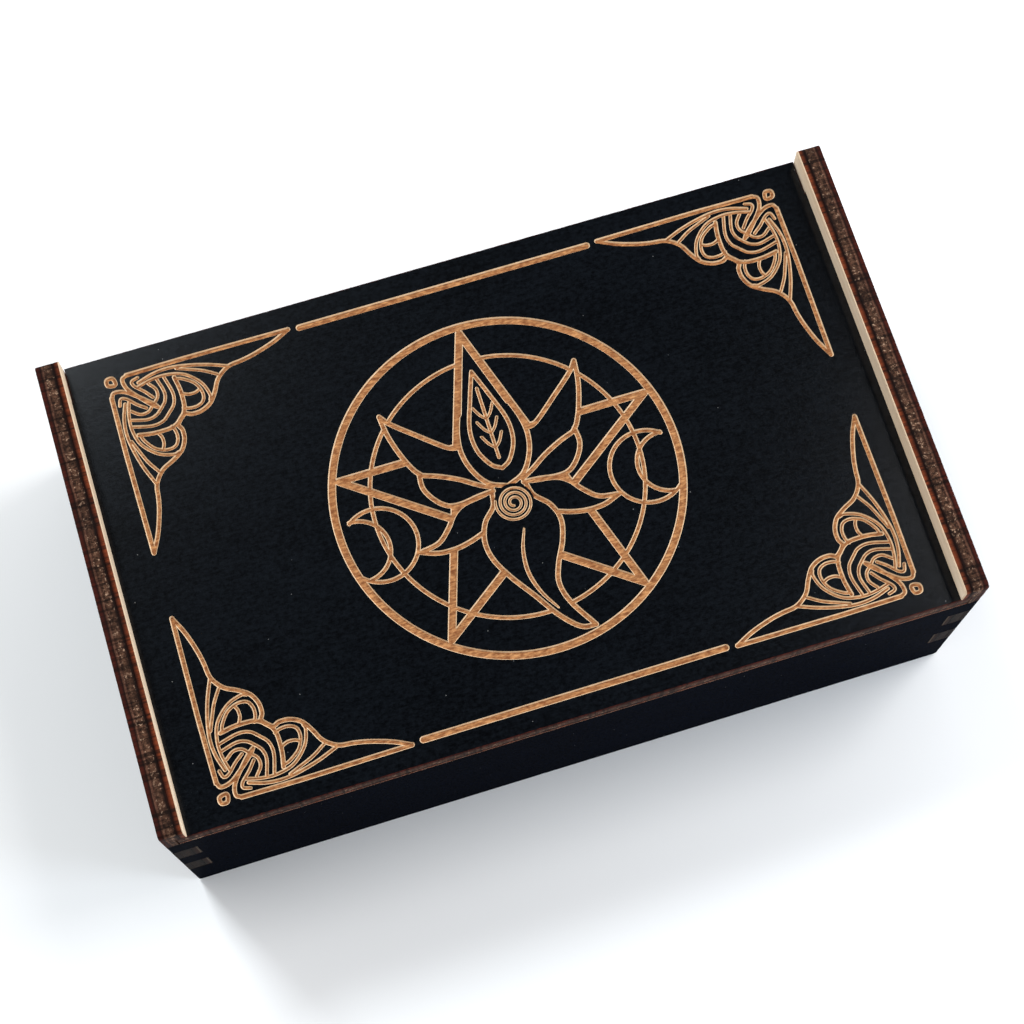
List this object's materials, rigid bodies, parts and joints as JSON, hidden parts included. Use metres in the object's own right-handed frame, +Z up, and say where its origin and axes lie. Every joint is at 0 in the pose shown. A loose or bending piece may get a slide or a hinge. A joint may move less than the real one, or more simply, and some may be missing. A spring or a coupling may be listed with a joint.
{
  "type": "card deck box",
  "caption": "Low rectangular wooden deck box of finger-jointed panels with a flat engraved lid that slides out forwards in grooves, between two raised end rails.",
  "frame": {"origin": "centre of the footprint, on the surface that the box stands on", "axes": "+X along the box's length, towards the right end panel; +Y from the front, where the lid slides out, towards the back; +Z up"},
  "size_m": [0.136, 0.081, 0.046],
  "materials": {
    "coated_ply": "plywood with a satin black coating outside, bare pale wood inside and laser-charred brown edges",
    "engraved_ply": "the same black-coated plywood with laser-engraved lines that show the tan wood, and charred brown edges",
    "base_ply": "plywood, bare and pale on the inside of the box and black underneath"
  },
  "bodies": {
    "box": {"front_panel": "coated_ply", "back_panel": "coated_ply", "left_end_panel": "coated_ply", "right_end_panel": "coated_ply", "bottom_panel": "base_ply"},
    "lid": {"lid": "engraved_ply"}
  },
  "joints": [
    {"name": "lid_slide", "type": "slide", "parent": "box", "child": "lid", "axis": [0, -1, 0], "range_m": [0, 0.085]}
  ]
}
